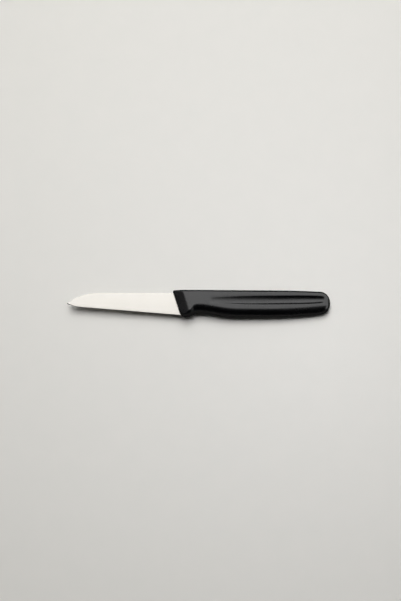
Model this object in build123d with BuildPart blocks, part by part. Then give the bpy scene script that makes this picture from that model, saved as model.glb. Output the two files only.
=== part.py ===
from build123d import *
import os
from math import asin, atan, cos, degrees, hypot, radians, sin, sqrt, tan

# A paring knife lying on its side, in millimetres: a ground blade with its tang moulded into a plastic handle.
# X runs from the point (-X) to the butt (+X), Y towards the spine, and Z up from the surface it lies on.
# The origin is on that surface, under the middle of the knife.

# Blade
blade_length = 75.5  # point to the front of the handle, along the spine
blade_height = 15.95  # spine to cutting edge at the heel
blade_thickness = 1.2
blade_spine_inset = 1.65  # the blade's spine lies this much below the handle's
edge_slope = 4.5  # degrees that the cutting edge rises towards the point
edge_thickness = 0.16  # left by the flat grind at the line of the cutting edge
bevel_height = 0.3  # of the whetted bevel on each side of the cutting edge
whetting_loss = 0.02  # taken off the ground outline where the two bevels meet
clip_length = 23.0  # from where the spine starts to curve down to the point
point_drop = 7.8  # spine down to the point
point_sweep_length = 9.7  # over which the cutting edge curves up to the point

# Tang, hidden in the handle
heel_hidden = 3.0  # of the heel, behind the front of the handle at the cutting edge
grind_hidden = 1.0  # of the grind, behind the same place
tang_shoulder = 3.4  # step from the spine down to the tang
tang_height = 9.5
tang_length = 58.0
tang_end_radius = 2.5
tang_hole_diameter = 4.0
tang_hole_inset = 14.0  # heel to the first hole
tang_hole_spacing = 28.0

# Handle
handle_length = 112.5  # along its spine
handle_height = 19.15  # spine to the lowest line of the belly
front_thickness = 13.4  # across the cheeks, just behind the front bevel
butt_thickness = 8.6  # across the cheeks at the butt, before it rounds over
front_slant = 17.6  # degrees that the front leans back from the spine to the guard
front_lip = 3.3  # plastic left standing square off the blade, where the bevel starts
bevel_run = 7.1  # of the front bevel, along the knife
spine_radius = 1.8  # of the two long edges of the spine
belly_round = 6.15  # height over which a cheek rounds into the belly
recess_round = 6.75  # the same at the finger recess
guard_round = 4.0  # the same at the finger guard
guard_rise = 0.2  # the guard's lowest line lies this much above the belly's
guard_nose_radius = 4.8  # from the guard up to the front
guard_reach = 9.5  # front of the handle to the lowest place of the guard
recess_depth = 2.6  # of the finger recess, from the belly's line
recess_reach = 18.0  # front of the handle to the recess's deepest stretch
recess_flat = 2.0  # length of that stretch
belly_reach = 46.5  # front of the handle to where the belly is at its fullest
belly_flat = 7.0  # length of the full stretch
butt_belly_rise = 3.45  # how far the belly's line rises towards the butt
butt_spine_fall = 1.15  # how far the spine's line falls towards the butt
butt_spine_run = 39.0  # length over which it falls
butt_centre_depth = 8.6  # spine down to the foremost place of the butt's dome
spine_dome = 7.0  # length over which the spine rounds into the butt
belly_dome = 7.5  # the same for the belly
cheek_dome = 5.5  # the same for the cheeks
butt_flat = 0.25  # cut off the dome's end, where the mould is filled
cheek_skim = 0.05  # that the moulded form stands proud of the two flat cheeks

# Flutes, one long leaf in each cheek
flute_width = 6.1
flute_depth = 0.9
flute_start = 27.5  # front of the handle to where the flute sets in
flute_run_in = 27.0  # length over which it gets its full depth
flute_end_gap = 4.4  # its other end to the butt
flute_front_depth = 7.4  # spine down to the flute's middle, where it sets in
flute_butt_depth = 6.8  # the same at its other end
flute_end_loss = 0.15  # how much shallower it is there

overrun = 2.0  # that a cut goes past what it cuts

# Shares that shape the outline's soft curves, chosen by eye
recess_ease_share = 0.8  # below 1, the recess climbs to the belly sooner
belly_fall_share = 2.6  # above 2, the belly's line stays full for longer
belly_dome_share = 2.5  # above 2, the belly rounds over later and tighter than an ellipse
nose_shares = (0.85, 0.6, 0.3)  # stations from the guard forward, of guard_nose_radius
guard_shares = (0.25, 0.5, 0.75)  # stations from the guard back to the recess
belly_shares = (0.14, 0.3, 0.5, 0.75)  # stations from the recess back to the belly
body_shares = (0.3, 0.55, 0.8)  # stations from the belly back to the butt's dome
dome_shares = (0.7, 0.45, 0.24, 0.1, 0)  # stations along the dome, of belly_dome

# Places along the knife, from its middle
overall_length = blade_length + handle_length
point_u = -overall_length / 2
butt_u = overall_length / 2
front_u = point_u + blade_length
guard_u = front_u + guard_reach
recess_u = front_u + recess_reach
recess_end_u = recess_u + recess_flat
belly_u = front_u + belly_reach
belly_end_u = belly_u + belly_flat
spine_fall_u = butt_u - butt_spine_run

# Levels across the knife, from half the height of the handle
spine_v = handle_height / 2
blade_spine_v = spine_v - blade_spine_inset
heel_v = blade_spine_v - blade_height
point_v = blade_spine_v - point_drop

# The cheeks close in towards the butt, so a knife lying on one cheek has its blade tipped up by that angle
taper = (front_thickness - butt_thickness) / 2 / (handle_length - bevel_run)
tilt = atan(taper)


def half_thickness(u):
    """Half the distance between the two cheeks at a place along the knife."""
    return butt_thickness / 2 + taper * (butt_u - u)


# The knife's own plane: x along it, y towards the spine, and z square to the blade
knife = Plane(
    origin=(0, 0, half_thickness(0) * cos(tilt)),
    x_dir=(cos(tilt), 0, -sin(tilt)),
    z_dir=(sin(tilt), 0, cos(tilt)),
)


def along(u, v):
    """A direction in the knife's plane."""
    return knife.x_dir * u + knife.y_dir * v


def section_plane(u):
    """The plane across the knife at a place along it: x towards the spine, y square to the blade."""
    return Plane(origin=knife.from_local_coords((u, 0, 0)), x_dir=knife.y_dir, z_dir=knife.x_dir)


def tangent_radius(start, direction, end):
    """The radius of the arc that leaves start along a unit direction and goes through end, and its angle."""
    du, dv = end[0] - start[0], end[1] - start[1]
    across = abs(direction[0] * dv - direction[1] * du)
    chord = hypot(du, dv)
    return chord**2 / (2 * across), 2 * degrees(asin(across / chord))


# Blade outline: the heel lies on the handle's slanted front
heel_u = front_u + (spine_v - heel_v) * tan(radians(front_slant))
shoulder_u = heel_u + heel_hidden
grind_end_u = heel_u + grind_hidden
edge_direction = (-cos(radians(edge_slope)), sin(radians(edge_slope)))


def edge_v(u):
    """The level of the straight cutting edge, carried on past both of its ends."""
    return heel_v + (heel_u - u) * tan(radians(edge_slope))


sweep_start = (point_u + point_sweep_length, edge_v(point_u + point_sweep_length))
sweep_radius, sweep_angle = tangent_radius(sweep_start, edge_direction, (point_u, point_v))
clip_start = (point_u + clip_length, blade_spine_v)
tang_top_v = blade_spine_v - tang_shoulder
tang_end_u = shoulder_u + tang_length

# The plane across the cutting edge where the grind ends: x up from the edge, z along it to the point
edge_plane = Plane(
    origin=knife.from_local_coords((grind_end_u, edge_v(grind_end_u), 0)),
    x_dir=along(edge_direction[1], -edge_direction[0]),
    z_dir=along(*edge_direction),
)
edge_half = edge_thickness / 2
grind_height = blade_height * cos(radians(edge_slope))
grind_rate = (blade_thickness / 2 - edge_half) / grind_height
bevel_rate = (edge_half + grind_rate * bevel_height) / (bevel_height - whetting_loss)
bevel_reach = 2 * bevel_height

# Blade: stamped in one with its tang, flat ground from spine to edge, and whetted
with BuildPart() as blade:
    with BuildSketch(knife.offset(-blade_thickness / 2)):
        with BuildLine():
            Line((shoulder_u, edge_v(shoulder_u)), sweep_start)
            TangentArc(sweep_start, (point_u, point_v), tangent=edge_direction)
            TangentArc(clip_start, (point_u, point_v), tangent=(-1, 0))
            Polyline(
                clip_start,
                (shoulder_u, blade_spine_v),
                (shoulder_u, tang_top_v),
                (tang_end_u, tang_top_v),
                (tang_end_u, tang_top_v - tang_height),
                (shoulder_u, tang_top_v - tang_height),
                (shoulder_u, edge_v(shoulder_u)),
            )
        outline = make_face()
        fillet(outline.vertices().sort_by(Axis.X)[-2:], radius=tang_end_radius)
        hole_v = tang_top_v - tang_height / 2
        first_hole_u = shoulder_u + tang_hole_inset
        with Locations((first_hole_u, hole_v), (first_hole_u + tang_hole_spacing, hole_v)):
            Circle(tang_hole_diameter / 2, mode=Mode.SUBTRACT)
    extrude(amount=blade_thickness)
    with BuildSketch(edge_plane):
        Polygon(
            (-overrun, edge_half - grind_rate * overrun),
            (grind_height, blade_thickness / 2),
            (grind_height, blade_thickness),
            (-overrun, blade_thickness),
            align=None,
        )
        mirror(about=Plane.XZ)
    extrude(amount=overall_length, mode=Mode.SUBTRACT)
    with BuildLine(knife) as edge_line:
        Line((grind_end_u, edge_v(grind_end_u)), sweep_start)
        JernArc(sweep_start, edge_direction, sweep_radius, -1.2 * sweep_angle)
    with BuildSketch(edge_plane):
        Polygon(
            (-bevel_reach, -blade_thickness),
            (bevel_reach, -blade_thickness),
            (bevel_reach, -bevel_rate * (bevel_reach - whetting_loss)),
            (whetting_loss, 0),
            (bevel_reach, bevel_rate * (bevel_reach - whetting_loss)),
            (bevel_reach, blade_thickness),
            (-bevel_reach, blade_thickness),
            align=None,
        )
    sweep(path=edge_line.line, mode=Mode.SUBTRACT)
blade.part.label = "blade"


# Handle outline
def ease(share):
    """A smooth step from 0 to 1."""
    return share * share * (3 - 2 * share)


def recess_share(u):
    """How much of the finger recess there is at a place: 1 in its deepest stretch, 0 at the belly."""
    if u < recess_u:
        return ease(max(u - guard_u, 0) / (recess_u - guard_u))
    if u < recess_end_u:
        return 1
    return 1 - ease(min((u - recess_end_u) / (belly_u - recess_end_u), 1) ** recess_ease_share)


def belly_depth(u):
    """The depth of the lowest line below the spine's level, before the nose and the butt round over."""
    crest = handle_height - (guard_rise if u < recess_u else 0)
    fall = max(u - belly_end_u, 0) / (butt_u - belly_end_u)
    recessed = crest + (handle_height - recess_depth - crest) * recess_share(u)
    return recessed - butt_belly_rise * fall**belly_fall_share


def nose_rise(u):
    """How far the lowest line rises ahead of the guard: round, and then straight on, past the front."""
    ahead = max(guard_u - u, 0)
    bend = min(ahead, nose_shares[0] * guard_nose_radius)
    return guard_nose_radius - sqrt(guard_nose_radius**2 - bend**2) + ahead - bend


def spine_depth(u):
    """The depth of the spine's line below its own highest level, before the butt rounds over."""
    return butt_spine_fall * (max(u - spine_fall_u, 0) / butt_spine_run) ** 2


def cheek_round(u):
    """The height over which the cheeks round into the lowest line."""
    share = recess_share(u)
    return recess_round * share + (guard_round if u < recess_u else belly_round) * (1 - share)


def dome(u, length, share=2):
    """The rounding of the butt, elliptical at share 2: 1 ahead of it, and almost 0 at its end."""
    into = max(u + length - butt_u, 0) / (length + butt_flat)
    return (1 - into**share) ** (1 / share)


# The stations of three stretches, each skinned by itself: the nose, the grip and the dome
dome_u = butt_u - belly_dome
nose_stations = [guard_u - share * guard_nose_radius for share in nose_shares]
grip_stations = (
    [guard_u + share * (recess_u - guard_u) for share in guard_shares]
    + [recess_u, recess_end_u]
    + [recess_end_u + share * (belly_u - recess_end_u) for share in belly_shares]
    + [belly_u, belly_end_u]
    + [belly_end_u + share * (dome_u - belly_end_u) for share in body_shares]
)
dome_stations = [butt_u - share * belly_dome for share in dome_shares]
stretches = (
    [front_u - overrun, *nose_stations, guard_u],
    [guard_u, *grip_stations, dome_u],
    [dome_u, *dome_stations],
)

# The slanted front and its two bevels, all through the front's top corner
front_top = knife.from_local_coords((front_u, spine_v, 0))
front_back = along(cos(radians(front_slant)), sin(radians(front_slant)))
lip_height = blade_thickness / 2 + front_lip
front_run = bevel_run * cos(radians(front_slant))
bevel_angle = atan((front_thickness / 2 - lip_height) / front_run)
cheek_plane = Plane(
    origin=knife.from_local_coords((0, 0, half_thickness(0))),
    z_dir=knife.x_dir * sin(tilt) + knife.z_dir * cos(tilt),
)

# Flute form: a long round bar sunk into the cheek, slimmer where the leaf sets in and round at its other end
flute_radius = (flute_width**2 / 4 + flute_depth**2) / (2 * flute_depth)
flute_end_radius = flute_radius - flute_end_loss
flute_end_reach = sqrt(flute_end_radius**2 - (flute_radius - flute_depth) ** 2)
flute_from_u = front_u + flute_start
flute_to_u = butt_u - flute_end_gap - flute_end_reach


def flute_centre(u, depth):
    """A place on the bar's middle line, above the cheek."""
    return knife.from_local_coords((u, spine_v - depth, half_thickness(u) + flute_radius - flute_depth))


flute_from = flute_centre(flute_from_u, flute_front_depth)
flute_to = flute_centre(flute_to_u, flute_butt_depth)
flute_line = flute_to - flute_from
flute_plane = Plane(origin=flute_from, x_dir=flute_line, z_dir=knife.z_dir.cross(flute_line))
flute_length = flute_line.length

with BuildPart() as flute_form:
    with BuildSketch(flute_plane):
        with BuildLine():
            Line((0, 0), (0, flute_radius - flute_depth))
            TangentArc(
                (flute_run_in, flute_radius), (0, flute_radius - flute_depth), tangent=(-1, 0)
            )
            Line((flute_run_in, flute_radius), (flute_length, flute_end_radius))
            CenterArc((flute_length, 0), flute_end_radius, 90, -90)
            Line((flute_length + flute_end_radius, 0), (0, 0))
        make_face()
    revolve(axis=Axis(flute_from, flute_line))

# Handle: moulded round the tang, so it fills the tang's holes and fits the steel face to face
with BuildPart() as handle:
    for stations in stretches:
        for u in stations:
            full = belly_depth(u) - spine_depth(u)
            top = butt_centre_depth - (butt_centre_depth - spine_depth(u)) * dome(u, spine_dome)
            belly_round_over = dome(u, belly_dome, belly_dome_share)
            bottom = butt_centre_depth + (belly_depth(u) - butt_centre_depth) * belly_round_over
            bottom -= nose_rise(u)
            half = (half_thickness(u) + cheek_skim) * dome(u, cheek_dome)
            corner = spine_radius * (bottom - top) / full
            belly = cheek_round(u) * (bottom - top) / full
            high, low = spine_v - top, spine_v - bottom
            with BuildSketch(section_plane(u)):
                with BuildLine():
                    Line((high, corner - half), (high, half - corner))
                    CenterArc((high - corner, half - corner), corner, 0, 90)
                    Line((high - corner, half), (low + belly, half))
                    EllipticalCenterArc((low + belly, 0), belly, half, 90, arc_size=180)
                    Line((low + belly, -half), (high - corner, -half))
                    CenterArc((high - corner, corner - half), corner, 270, 90)
                make_face()
        loft()
    split(bisect_by=Plane.XY, keep=Keep.TOP)
    split(bisect_by=cheek_plane, keep=Keep.BOTTOM)
    split(bisect_by=Plane(origin=front_top, z_dir=front_back), keep=Keep.TOP)
    for side in (1, -1):
        lip = front_top + knife.z_dir * side * lip_height
        bevel_normal = knife.z_dir * side * cos(bevel_angle) - front_back * sin(bevel_angle)
        split(bisect_by=Plane(origin=lip, z_dir=bevel_normal), keep=Keep.BOTTOM)
    add(flute_form.part, mode=Mode.SUBTRACT)
    mirror(flute_form.part, about=knife, mode=Mode.SUBTRACT)
    add(blade.part, mode=Mode.SUBTRACT)
handle.part.label = "handle"

os.makedirs("parts", exist_ok=True)
export_step(blade.part, "parts/blade.step")
export_step(handle.part, "parts/handle.step")
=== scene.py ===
from math import atan, cos, pi, radians, sin, tan

import bpy
import bmesh
import numpy as np
from mathutils import Matrix, Vector


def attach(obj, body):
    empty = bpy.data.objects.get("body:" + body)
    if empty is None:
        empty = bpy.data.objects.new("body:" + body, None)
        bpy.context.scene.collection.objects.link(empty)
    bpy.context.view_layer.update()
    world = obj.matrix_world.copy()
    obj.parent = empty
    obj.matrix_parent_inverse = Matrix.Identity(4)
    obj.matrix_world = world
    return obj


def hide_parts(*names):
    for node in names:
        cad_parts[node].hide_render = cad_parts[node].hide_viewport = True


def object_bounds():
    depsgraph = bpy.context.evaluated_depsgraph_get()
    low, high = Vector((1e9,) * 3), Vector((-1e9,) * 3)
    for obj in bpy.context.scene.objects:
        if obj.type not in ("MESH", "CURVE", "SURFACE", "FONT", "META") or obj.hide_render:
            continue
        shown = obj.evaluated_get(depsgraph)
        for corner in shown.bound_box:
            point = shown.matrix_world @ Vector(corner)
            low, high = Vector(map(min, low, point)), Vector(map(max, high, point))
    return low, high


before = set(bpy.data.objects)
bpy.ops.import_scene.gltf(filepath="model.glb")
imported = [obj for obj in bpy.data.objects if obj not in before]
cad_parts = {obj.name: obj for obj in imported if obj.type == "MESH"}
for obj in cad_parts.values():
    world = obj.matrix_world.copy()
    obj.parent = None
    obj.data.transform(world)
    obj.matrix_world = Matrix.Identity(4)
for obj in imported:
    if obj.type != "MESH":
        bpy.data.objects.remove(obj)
cad_low, cad_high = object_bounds()

# A paring knife lying on its side: a ground steel blade moulded into a black plastic handle.
# Sizes are in metres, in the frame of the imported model: X from the point to the butt, Y to the spine,
# Z up from the surface that it lies on.
MM = 0.001

# Handle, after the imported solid. Some sizes differ from it: the height leaves room for the parting line, and
# the recess's depth, the rounds at the recess and the guard, and the reach of the guard's tight edge follow
# the photograph's shading.
butt_u = cad_high.x
handle_length = 112.5 * MM  # along its spine
handle_height = 19.11 * MM  # spine to the lowest line of the belly, without the mould's parting line
front_thickness = 13.4 * MM  # across the cheeks, just behind the front bevel
butt_thickness = 8.6 * MM  # across the cheeks at the butt
front_slant = radians(17.6)  # that the front leans back from the spine to the guard
lip_height = 3.9 * MM  # half the thickness left standing at the front, where the bevel starts
bevel_run = 7.1 * MM  # of the front bevel, along the knife
spine_radius = 1.8 * MM  # of the two long edges of the spine
belly_round = 6.15 * MM  # height over which a cheek rounds into the belly
recess_round = 6.5 * MM  # the same at the finger recess
guard_round = 4.3 * MM  # the same at the finger guard
guard_rise = 0.2 * MM  # the guard's lowest line lies this much above the belly's
guard_nose_radius = 4.8 * MM  # from the guard up to the front
guard_reach = 9.5 * MM  # front of the handle to the lowest place of the guard
guard_edge_reach = 12.5 * MM  # front of the handle to where the guard's tight edge starts to widen
recess_edge_reach = 15.2 * MM  # front of the handle to where that edge has the recess's full round
recess_depth = 2.9 * MM  # of the finger recess, from the belly's line
recess_reach = 18.0 * MM  # front of the handle to the recess's deepest stretch
recess_flat = 2.0 * MM  # length of that stretch
recess_ease_share = 0.8  # below 1, the recess climbs to the belly sooner
belly_reach = 46.5 * MM  # front of the handle to where the belly is at its fullest
belly_flat = 7.0 * MM  # length of the full stretch
butt_belly_rise = 3.45 * MM  # how far the belly's line rises towards the butt
belly_fall_share = 2.6  # above 2, the belly's line stays full for longer
belly_dome_share = 2.5  # above 2, the belly rounds over later and tighter than an ellipse
butt_spine_fall = 1.15 * MM  # how far the spine's line falls towards the butt
butt_spine_run = 39.0 * MM  # length over which it falls
butt_centre_depth = 8.6 * MM  # spine down to the foremost place of the butt's dome
spine_dome = 7.0 * MM  # length over which the spine rounds into the butt
belly_dome = 7.5 * MM  # the same for the belly
cheek_dome = 5.5 * MM  # the same for the cheeks

# Soft edges and the parting line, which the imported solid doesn't have
crease_soft = 0.22 * MM  # softness of the crease between bevel and cheek
front_corner = 1.3 * MM  # radius between the spine and the front
lip_ease = 0.25 * MM  # of the edge between the front and the bevel
nose_run = 4.1 * MM  # ahead of the guard, where the nose's round goes on as a straight line
parting_height = 0.02 * MM  # of the fine line where the two halves of the mould met
parting_width = 0.12 * MM  # from its middle to its foot
spine_round_hold = 1.05  # above 1, the spine's edges keep their radius where the handle is a little lower
spine_round_share = 0.7  # of half the thickness, the most that such an edge takes

# Flutes, one long shallow leaf in each cheek
flute_start = 25.4 * MM  # front of the handle to where the flute begins
flute_fade = 3.0 * MM  # over which it fades in there
flute_sink_run = 64.0 * MM  # over which it gets its full depth
flute_spread_run = 40.0 * MM  # over which it gets its full width
flute_depth = 0.73 * MM
flute_width = 6.2 * MM
flute_sink_share = 0.14  # of its depth, where it begins
flute_spread_share = 0.53  # of its width, where it begins
flute_front_floor_share = 0.8  # of its width, from the rim on the spine's side to its deepest line
flute_butt_floor_share = 0.56  # the same at its other end
flute_spine_wall = 2.7  # above 2, a wall is steeper at its rim and flatter at its foot than a plain dish
flute_belly_wall = 2.0  # the same for the other wall
flute_tail = 18.0 * MM  # over which it narrows towards its end
flute_tail_share = 0.11  # near 0, it keeps its width almost to the end
flute_end_gap = 4.5 * MM  # from its end to the butt
flute_end_run = 3.6 * MM  # over which its bottom rises at that end
flute_front_depth = 7.4 * MM  # spine down to its middle line, where it begins
flute_butt_depth = 6.6 * MM  # the same at its other end
flute_bow = 0.25 * MM  # that its middle line sags between the two
rim_soft = 0.11 * MM  # softness of the flute's rims

# Handle, how finely its skin is divided
front_step = 0.4 * MM
crease_step = 0.12 * MM
crease_zone = 1.2 * MM  # on each side of the crease
grip_step = 0.6 * MM
dome_steps = 40
dome_turn = radians(88)  # of the butt's quarter round, to the last section
spine_rows = 8
spine_crowding = 1.5  # above 1, the rows on the spine crowd towards the parting line
corner_rows = 8
cheek_rows = 96
belly_rows = 26
lean_hold = 2 * bevel_run  # behind the front, up to where a section leans as the front does
lean_run = handle_length / 3  # over which a section then straightens up
search_steps = 30  # to where a leaning section meets a line of the handle
smooth_angle = radians(40)  # an edge that turns more than this stays sharp

# Places along the knife
front_u = butt_u - handle_length
guard_u = front_u + guard_reach
guard_edge_u = front_u + guard_edge_reach
recess_edge_u = front_u + recess_edge_reach
recess_u = front_u + recess_reach
recess_end_u = recess_u + recess_flat
belly_u = front_u + belly_reach
belly_end_u = belly_u + belly_flat
flute_from_u = front_u + flute_start
flute_to_u = butt_u - flute_end_gap
spine_v = handle_height / 2

# The knife's own plane: it lies on one cheek, and the cheeks close in towards the butt
taper = (front_thickness - butt_thickness) / 2 / (handle_length - bevel_run)
tilt = atan(taper)
knife_height = (butt_thickness / 2 + taper * butt_u) * cos(tilt)
knife_to_frame = Matrix.Translation((0, 0, knife_height)) @ Matrix.Rotation(tilt, 4, "Y")


def ease(share):
    """A smooth step from 0 to 1."""
    share = np.clip(share, 0, 1)
    return share * share * (3 - 2 * share)


def grown(share, start):
    """A growth from its start to 1 that slows down to the end."""
    return start + (1 - start) * np.sin(pi / 2 * np.clip(share, 0, 1))


def lesser(a, b, soft):
    """The lesser of two heights, with a soft crease where they cross."""
    return (a + b - np.sqrt((a - b) ** 2 + soft**2)) / 2


def half_thickness(u):
    """Half the distance between the two cheeks."""
    return butt_thickness / 2 + taper * (butt_u - u)


def recess_share(u):
    """How much of the finger recess there is: 1 in its deepest stretch, 0 at the guard and the belly."""
    rising = ease((u - guard_u) / (recess_u - guard_u))
    falling = np.clip((u - recess_end_u) / (belly_u - recess_end_u), 0, 1) ** recess_ease_share
    return np.where(u < recess_u, rising, 1 - ease(falling))


def dome(u, length, share=2):
    """The rounding of the butt, elliptical at share 2: 1 ahead of it, and 0 at its end."""
    into = np.clip(u + length - butt_u, 0, length) / length
    return (1 - into**share) ** (1 / share)


def spine_line(u):
    """The depth of the spine below its own highest level."""
    fall = butt_spine_fall * (np.maximum(u - butt_u + butt_spine_run, 0) / butt_spine_run) ** 2
    short = np.clip(front_u + front_corner - u, 0, front_corner)
    fall = fall + front_corner - np.sqrt(front_corner**2 - short**2)
    return butt_centre_depth - (butt_centre_depth - fall) * dome(u, spine_dome)


def belly_line(u):
    """The depth of the lowest line, with the guard's nose, the recess, the belly and the butt's dome."""
    crest = handle_height - np.where(u < recess_u, guard_rise, 0)
    fall = np.maximum(u - belly_end_u, 0) / (butt_u - belly_end_u)
    full = crest + (handle_height - recess_depth - crest) * recess_share(u)
    full = full - butt_belly_rise * fall**belly_fall_share
    ahead = np.maximum(guard_u - u, 0)
    bend = np.minimum(ahead, nose_run)
    nose = guard_nose_radius - np.sqrt(guard_nose_radius**2 - bend**2) + ahead - bend
    return butt_centre_depth + (full - butt_centre_depth) * dome(u, belly_dome, belly_dome_share) - nose


def fullness(u):
    """How much of its full height the handle has at a place, which its rounded edges shrink with."""
    return (belly_line(u) - spine_line(u)) / handle_height


def belly_start(u):
    """The depth at which a cheek starts to round into the lowest line."""
    widening = ease((u - guard_edge_u) / (recess_edge_u - guard_edge_u))
    share = np.where(u < recess_u, widening, recess_share(u))
    rounding = recess_round * share + np.where(u < recess_u, guard_round, belly_round) * (1 - share)
    # The round only shrinks where the handle is lower than at the recess, which is at its two ends
    against_recess = fullness(u) * handle_height / (handle_height - recess_depth)
    return belly_line(u) - rounding * np.minimum(against_recess, 1)


def behind_front(u, depth):
    """The distance behind the slanted front, along the knife."""
    return np.maximum(u - front_u - depth * tan(front_slant), 0)


def front_bevel(behind):
    """Half the thickness that the front bevel leaves at a distance behind the front."""
    return lip_height + (front_thickness / 2 - lip_height) * behind / bevel_run


def shoulder(u, depth):
    """Half the thickness that the cheeks and the front bevel leave, before the long edges are rounded."""
    behind = behind_front(u, depth)
    bevel = front_bevel(behind) - lip_ease / 2 * np.maximum(1 - behind / lip_ease, 0) ** 2
    return lesser(half_thickness(u) * dome(u, cheek_dome), bevel, crease_soft)


def rounded_belly(u, depth):
    """Half the thickness where a cheek rounds into the lowest line."""
    low, start = belly_line(u), belly_start(u)
    down = np.clip((depth - start) / (low - start), 0, 1)
    rounded = half_thickness(u) * dome(u, cheek_dome) * np.sqrt(1 - down**2)
    return np.maximum(lesser(rounded, front_bevel(behind_front(u, depth)), crease_soft), 0)


def flute_middle(along):
    """The depth of a flute's middle line, a gentle bow from its beginning at 0 to its end at 1."""
    straight = flute_front_depth + (flute_butt_depth - flute_front_depth) * along
    return straight + 4 * flute_bow * along * (1 - along)


def flute(u, depth):
    """How deep the flute is cut at a place: a shallow leaf, dished across, that fades in at the front."""
    into = np.maximum(u - flute_from_u, 0)
    to_end = np.maximum(flute_to_u - u, 0)
    along = (u - flute_from_u) / (flute_to_u - flute_from_u)
    width = flute_width * grown(into / flute_spread_run, flute_spread_share)
    width = np.maximum(width * np.minimum(to_end / flute_tail, 1) ** flute_tail_share, rim_soft)
    end_rise = np.sqrt(1 - np.maximum(1 - to_end / flute_end_run, 0) ** 2)
    sunk = flute_depth * grown(into / flute_sink_run, flute_sink_share) * end_rise
    floor_change = flute_butt_floor_share - flute_front_floor_share
    floor_share = flute_front_floor_share + floor_change * np.clip(along, 0, 1)
    floor = flute_middle(along) + width * (floor_share - 0.5)
    above = np.maximum(floor - depth, 0) / (width * floor_share)
    below = np.maximum(depth - floor, 0) / (width * (1 - floor_share))
    cut = sunk * (1 - above**flute_spine_wall - below**flute_belly_wall)
    # Past its rims the cut fades out softly, and well outside them there is none
    softened = np.where(cut > -3 * rim_soft, (cut + np.sqrt(cut**2 + rim_soft**2)) / 2, 0)
    return softened * ease(into / flute_fade)


def crossing(line, place):
    """The depth at which a leaning section meets a line of the handle."""
    depth = handle_height / 2
    for _ in range(search_steps):
        depth = line(place(depth))
    return depth


def half_section(station):
    """Places down one half of a section, from the middle of the spine to the lowest line.

    A section leans like the front near the front and stands square to the knife towards the butt.
    """
    lean = tan(front_slant) * (1 - ease((station - lean_hold) / lean_run))

    def place(depth):
        """The place along the knife of a depth on this section."""
        return front_u + station + depth * lean

    top = crossing(spine_line, place)
    low = crossing(belly_line, place)
    start = crossing(belly_start, place)
    corner_full = shoulder(place(top), top)
    corner = spine_radius * min(fullness(place(top)) * spine_round_hold, 1)
    corner = min(corner, corner_full * spine_round_share)
    start = max(start, top + corner)

    # The rows run over the spine, round its edge, down the cheek and round into the lowest line
    out = np.linspace(0, 1, spine_rows, endpoint=False) ** spine_crowding
    turn = np.linspace(0, pi / 2, corner_rows, endpoint=False)
    depth = np.concatenate([
        np.full(spine_rows, top),
        top + corner * (1 - np.cos(turn)),
        np.linspace(top + corner, start, cheek_rows, endpoint=False),
        start + (low - start) * np.sin(np.linspace(0, pi / 2, belly_rows)),
    ])
    spine = slice(0, spine_rows)
    edge = slice(spine_rows, spine_rows + corner_rows)
    belly = slice(spine_rows + corner_rows + cheek_rows, None)
    u = place(depth)
    full = shoulder(u, depth)
    height = full.copy()
    height[spine] = out * (full[spine] - corner)
    height[edge] = full[edge] - corner * (1 - np.sin(turn))
    height[belly] = rounded_belly(u[belly], depth[belly])
    height[-1] = 0

    # The flute stays off the spine and the lowest line, and the parting line runs along both
    height = height - flute(u, depth) * (height > lip_height)
    ridge = parting_height * np.clip(1 - height / parting_width, 0, 1)
    depth = depth + ridge * np.where(np.arange(len(depth)) < spine_rows, -1, 1)
    return u, depth, height


def stations():
    """Distances behind the front, along the spine, at which the skin has a section."""
    grip_from = bevel_run + crease_zone
    grip_to = handle_length - belly_dome
    grip_steps = round((grip_to - grip_from) / grip_step)
    lip = np.array([lip_ease / 4, lip_ease / 2])
    front = np.arange(0, bevel_run - crease_zone, front_step)
    crease = np.arange(bevel_run - crease_zone, bevel_run + crease_zone, crease_step)
    grip = np.linspace(grip_from, grip_to, grip_steps, endpoint=False)
    butt = handle_length - belly_dome * (1 - np.sin(np.linspace(0, dome_turn, dome_steps)))
    return np.sort(np.concatenate([front, lip, crease, grip, butt]))


def handle_skin():
    """The handle's mesh in the knife's plane: one closed loop of points to a section, and two caps."""
    points, loop = [], 0
    for station in stations():
        u, depth, height = half_section(station)
        upper = np.stack([u, spine_v - depth, height], axis=1)
        lower = upper[-2:0:-1] * (1, 1, -1)
        ring = np.concatenate([upper, lower])
        loop = len(ring)
        points.append(ring)
    count = len(points)
    faces = []
    for i in range(count - 1):
        for j in range(loop):
            k = (j + 1) % loop
            faces.append((i * loop + j, (i + 1) * loop + j, (i + 1) * loop + k, i * loop + k))
    faces.append(tuple(range(loop)))
    faces.append(tuple(reversed(range((count - 1) * loop, count * loop))))
    mesh = bpy.data.meshes.new("moulded_handle")
    mesh.from_pydata(np.concatenate(points).tolist(), [], faces)
    mesh.transform(knife_to_frame)
    outward = bmesh.new()
    outward.from_mesh(mesh)
    bmesh.ops.recalc_face_normals(outward, faces=outward.faces)
    outward.to_mesh(mesh)
    outward.free()
    return mesh


def link(name, contents):
    """A new object in the scene, at the origin."""
    made = bpy.data.objects.new(name, contents)
    bpy.context.scene.collection.objects.link(made)
    return made


def cut_tang_pocket(piece):
    """Cuts the pocket that the plastic leaves round the blade and its tang."""
    steel = link("steel_form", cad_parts["blade"].data.copy())
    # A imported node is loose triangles, which are merged here into one closed form to cut with
    merged = bmesh.new()
    merged.from_mesh(steel.data)
    bmesh.ops.remove_doubles(merged, verts=merged.verts, dist=0.001 * MM)
    merged.to_mesh(steel.data)
    merged.free()
    pocket = piece.modifiers.new("pocket", "BOOLEAN")
    pocket.operation = "DIFFERENCE"
    pocket.solver = "MANIFOLD"
    pocket.object = steel
    depsgraph = bpy.context.evaluated_depsgraph_get()
    mesh = bpy.data.meshes.new_from_object(piece.evaluated_get(depsgraph))
    piece.modifiers.clear()
    piece.data = mesh
    bpy.data.objects.remove(steel)


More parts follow.
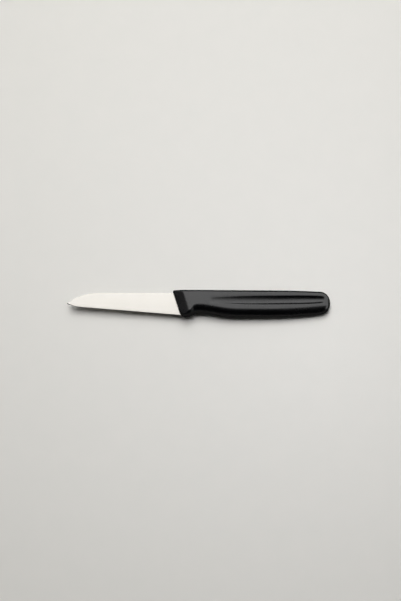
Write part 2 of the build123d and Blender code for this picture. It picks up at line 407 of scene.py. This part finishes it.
# Materials
def linear(hex_colour):
    """A #rrggbb colour as linear red, green, blue and alpha."""
    parts = [int(hex_colour[i:i + 2], 16) / 255 for i in (1, 3, 5)]
    return (*[p / 12.92 if p <= 0.04045 else ((p + 0.055) / 1.055) ** 2.4 for p in parts], 1)


def add_node(tree, kind, inputs=None, **settings):
    """A node with its settings, and its inputs as values or as links from other sockets."""
    made = tree.nodes.new(kind)
    for name, value in settings.items():
        setattr(made, name, value)
    for name, value in (inputs or {}).items():
        if isinstance(value, bpy.types.NodeSocket):
            tree.links.new(value, made.inputs[name])
        else:
            made.inputs[name].default_value = value
    return made


def new_material(name):
    """An empty material, its nodes and its output node."""
    material = bpy.data.materials.new(name)
    material.use_nodes = True
    material.node_tree.nodes.clear()
    return material, material.node_tree, add_node(material.node_tree, "ShaderNodeOutputMaterial")


def ground_stainless_steel():
    """Stainless strip, flat ground and glazed: nearly a mirror, softened by fine scratches across it."""
    material, tree, output = new_material("ground_stainless_steel")
    place = add_node(tree, "ShaderNodeTexCoord").outputs["Object"]
    # Grinding scratches are some 0.05 mm apart and 10 mm long; drawn 0.25 mm apart so that they show
    stretched = add_node(tree, "ShaderNodeMapping", {
        "Vector": place, "Scale": (4000, 100, 100)}).outputs[0]
    scratches = add_node(tree, "ShaderNodeTexNoise", {
        "Vector": stretched, "Scale": 1.0, "Detail": 3.0})
    # Hand polishing leaves soft patches some 12 mm wide
    patches = add_node(tree, "ShaderNodeTexNoise", {
        "Vector": place, "Scale": 80.0, "Detail": 2.0})
    rough = add_node(tree, "ShaderNodeMapRange", {
        "Value": scratches.outputs[0], "To Min": 0.16, "To Max": 0.3})
    bump = add_node(tree, "ShaderNodeBump", {
        "Height": scratches.outputs[0], "Strength": 0.04, "Distance": 0.02 * MM})
    tone = add_node(tree, "ShaderNodeMix", {
        "Factor": patches.outputs[0], "A": linear("#aeaba5"), "B": linear("#b2afaa")},
        data_type="RGBA")
    shader = add_node(tree, "ShaderNodeBsdfPrincipled", {
        "Base Color": tone.outputs["Result"], "Metallic": 1.0, "Roughness": rough.outputs[0],
        "Normal": bump.outputs[0]})
    tree.links.new(shader.outputs[0], output.inputs["Surface"])
    return material


def black_polypropylene():
    """Black polypropylene, injection moulded in a lightly polished mould: dark, with a satin gloss."""
    material, tree, output = new_material("black_polypropylene")
    place = add_node(tree, "ShaderNodeTexCoord").outputs["Object"]
    # The mould's fine texture, some 0.15 mm across
    grain = add_node(tree, "ShaderNodeTexNoise", {
        "Vector": place, "Scale": 7000.0, "Detail": 2.0})
    # Handling polishes it in soft patches some 10 mm wide
    wear = add_node(tree, "ShaderNodeTexNoise", {
        "Vector": place, "Scale": 100.0, "Detail": 3.0})
    rough = add_node(tree, "ShaderNodeMapRange", {
        "Value": wear.outputs[0], "To Min": 0.22, "To Max": 0.32})
    bump = add_node(tree, "ShaderNodeBump", {
        "Height": grain.outputs[0], "Strength": 0.1, "Distance": 0.01 * MM})
    # The fine grain breaks up the sheen towards glancing angles, so it fades where a clear gloss would grow
    facing = add_node(tree, "ShaderNodeLayerWeight", {
        "Blend": 0.5, "Normal": bump.outputs[0]}).outputs["Facing"]
    share = add_node(tree, "ShaderNodeMapRange", {
        "Value": facing, "From Min": 0.05, "From Max": 0.36, "To Min": 0.05, "To Max": 0.016})
    body = add_node(tree, "ShaderNodeBsdfDiffuse", {
        "Color": linear("#020203"), "Normal": bump.outputs[0]})
    gloss = add_node(tree, "ShaderNodeBsdfGlossy", {
        "Roughness": rough.outputs[0], "Normal": bump.outputs[0]})
    shader = add_node(tree, "ShaderNodeMixShader", {
        "Fac": share.outputs[0], 1: body.outputs[0], 2: gloss.outputs[0]})
    tree.links.new(shader.outputs[0], output.inputs["Surface"])
    return material


def pale_floor():
    """A plain pale mineral surface, faintly mottled, with a pool of light painted brighter in its middle."""
    material, tree, output = new_material("pale_floor")
    place = add_node(tree, "ShaderNodeTexCoord").outputs["Object"]
    # Mottling some 17 mm across, as cast stone has
    mottle = add_node(tree, "ShaderNodeTexNoise", {
        "Vector": place, "Scale": 60.0, "Detail": 6.0})
    tone = add_node(tree, "ShaderNodeMix", {
        "Factor": mottle.outputs[0], "A": linear("#e6e5e1"), "B": linear("#eae8e4")},
        data_type="RGBA")
    # Painted light: the floor is painted brighter in the middle, as a pool of light some 1.2 m across, and
    # duller towards its rim
    centred = add_node(tree, "ShaderNodeMapping", {
        "Vector": place, "Location": (-0.14, 0.05, 0), "Scale": (1.67, 1.67, 1)},
        vector_type="POINT").outputs[0]
    patch = add_node(tree, "ShaderNodeTexGradient", {"Vector": centred}, gradient_type="SPHERICAL")
    painted_light_pool = add_node(tree, "ShaderNodeMix", {
        "Factor": patch.outputs[1], "A": linear("#dad9d5"), "B": linear("#ffffff")},
        data_type="RGBA")
    colour = add_node(tree, "ShaderNodeMix", {
        "Factor": 1.0, "A": tone.outputs["Result"], "B": painted_light_pool.outputs["Result"]},
        data_type="RGBA", blend_type="MULTIPLY")
    shader = add_node(tree, "ShaderNodeBsdfPrincipled", {
        "Base Color": colour.outputs["Result"], "Roughness": 0.8, "Specular IOR Level": 0.2})
    tree.links.new(shader.outputs[0], output.inputs["Surface"])
    return material


# Camera: a long lens, looking down steeply from the cutting edge's side
pixel = 0.714 * MM  # that one pixel of the photograph covers at the knife
picture_rows = 601
frame_height = picture_rows * pixel
camera_lens = 100.0  # millimetres, as the sensor
camera_sensor = 36.0
camera_elevation = radians(82)
camera_target = Vector((1.36 * MM, 2.635 * MM, 6.5 * MM))

# Floor and lamps, in metres and degrees
floor_reach = 9.0
# Lamps above the knife. Each has its height, and its near and far edge as angles from straight overhead
# towards the spine's side, its left and right edge as angles towards the butt, and its brightness. The last
# value is True for a lamp that only shows in reflections, and False for one that only lights dull surfaces
# and so throws the shadow.
# Lamps that overlap hang at different heights, because one in the same plane would take light from another.
studio_lamps = (
    ("overhead_panel", 1.7, -4.0, 47.0, -36.0, 60.0, 1.0, True),
    ("overhead_core", 1.65, 3.0, 43.0, -33.0, 58.0, 1.9, True),
    ("key", 1.6, 5.0, 41.0, -19.0, 16.0, 8.6, False),
    ("key_fall_off", 1.6, 41.5, 62.0, -19.0, 16.0, 2.2, False),
)
# A bright wall beyond the butt, for reflections only
bright_wall_place = (1.6, -0.1, 0.5)
bright_wall_aim = (0, 0, 0.3)
bright_wall_width = 1.6
bright_wall_height = 0.8
bright_wall_radiance = 4.2


def place_camera():
    """A camera whose picture is as high as the photograph's at the knife."""
    camera = link("camera", bpy.data.cameras.new("camera"))
    camera.data.lens = camera_lens
    camera.data.sensor_width = camera_sensor
    back = Vector((0, -cos(camera_elevation), sin(camera_elevation)))
    camera.location = camera_target + back * frame_height * camera_lens / camera_sensor
    camera.rotation_mode = "QUATERNION"
    camera.rotation_quaternion = (-back).to_track_quat("-Z", "Y")
    camera.data.clip_start = 0.05
    camera.data.clip_end = 50
    bpy.context.scene.camera = camera


def lay_floor():
    """A wide flat floor at the level that the knife lies on."""
    signs = ((-1, -1), (1, -1), (1, 1), (-1, 1))
    mesh = bpy.data.meshes.new("floor")
    mesh.from_pydata([(x * floor_reach, y * floor_reach, 0) for x, y in signs], [], [(0, 1, 2, 3)])
    floor = link("floor", mesh)
    mesh.materials.append(pale_floor())


def add_lamp(name, place, aim, width, depth, radiance):
    """A rectangular lamp of even brightness."""
    lamp = bpy.data.lights.new(name, "AREA")
    lamp.shape = "RECTANGLE"
    lamp.size = width
    lamp.size_y = depth
    lamp.energy = radiance * width * depth * pi
    made = link(name, lamp)
    made.location = place
    made.rotation_mode = "QUATERNION"
    made.rotation_quaternion = (Vector(aim) - Vector(place)).to_track_quat("-Z", "Y")
    return made


def hang_lamps():
    """A broad soft panel overhead and behind, a key in it for the shadow, and a bright wall."""
    for name, height, near, far, left, right, radiance, mirrored in studio_lamps:
        y0, y1 = height * tan(radians(near)), height * tan(radians(far))
        x0, x1 = height * tan(radians(left)), height * tan(radians(right))
        place = ((x0 + x1) / 2, (y0 + y1) / 2, height)
        lamp = add_lamp(name, place, place[:2] + (0,), x1 - x0, y1 - y0, radiance)
        lamp.visible_glossy = mirrored
        lamp.visible_diffuse = not mirrored
    wall = add_lamp(
        "bright_wall", bright_wall_place, bright_wall_aim, bright_wall_width, bright_wall_height,
        bright_wall_radiance)
    wall.visible_diffuse = False


def darken_room():
    """A dark room round the lamps, with a paler horizon and a pale upper wall on the point's side."""
    world = bpy.data.worlds.new("studio")
    bpy.context.scene.world = world
    world.use_nodes = True
    tree = world.node_tree
    tree.nodes.clear()
    direction = add_node(tree, "ShaderNodeTexCoord").outputs["Generated"]
    sides = add_node(tree, "ShaderNodeSeparateXYZ", {"Vector": direction}).outputs
    # Directions have length 1, so Z is 0 at the horizon and 1 overhead, and X is -1 straight past the point
    horizon = add_node(tree, "ShaderNodeMapRange", {
        "Value": sides["Z"], "From Min": 0.15, "From Max": 0.4, "To Min": 0.13, "To Max": 0.01},
        interpolation_type="SMOOTHSTEP")
    left_wall = add_node(tree, "ShaderNodeMapRange", {
        "Value": sides["X"], "From Min": -0.72, "From Max": -0.52, "To Min": 0.28, "To Max": 0.0},
        interpolation_type="SMOOTHSTEP")
    above = add_node(tree, "ShaderNodeMapRange", {
        "Value": sides["Z"], "From Min": 0.35, "From Max": 0.55, "To Min": 0.0, "To Max": 1.0},
        interpolation_type="SMOOTHSTEP")
    left_glow = add_node(tree, "ShaderNodeMath", {
        0: left_wall.outputs[0], 1: above.outputs[0]}, operation="MULTIPLY")
    room = add_node(tree, "ShaderNodeMath", {
        0: horizon.outputs[0], 1: left_glow.outputs[0]}, operation="MAXIMUM")
    background = add_node(tree, "ShaderNodeBackground", {"Strength": room.outputs[0]})
    add_node(tree, "ShaderNodeOutputWorld", {"Surface": background.outputs[0]})


def mould_handle():
    """The black handle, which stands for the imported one."""
    handle = link("moulded_handle", handle_skin())
    cut_tang_pocket(handle)
    for face in handle.data.polygons:
        face.use_smooth = True
    handle.data.set_sharp_from_angle(angle=smooth_angle)
    handle.data.materials.clear()
    handle.data.materials.append(black_polypropylene())
    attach(handle, "root")
    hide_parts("handle")


def finish_blade():
    """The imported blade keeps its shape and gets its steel."""
    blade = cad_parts["blade"]
    blade.data.materials.clear()
    blade.data.materials.append(ground_stainless_steel())


bpy.context.scene.view_settings.view_transform = "Standard"
place_camera()
lay_floor()
hang_lamps()
darken_room()
mould_handle()
finish_blade()
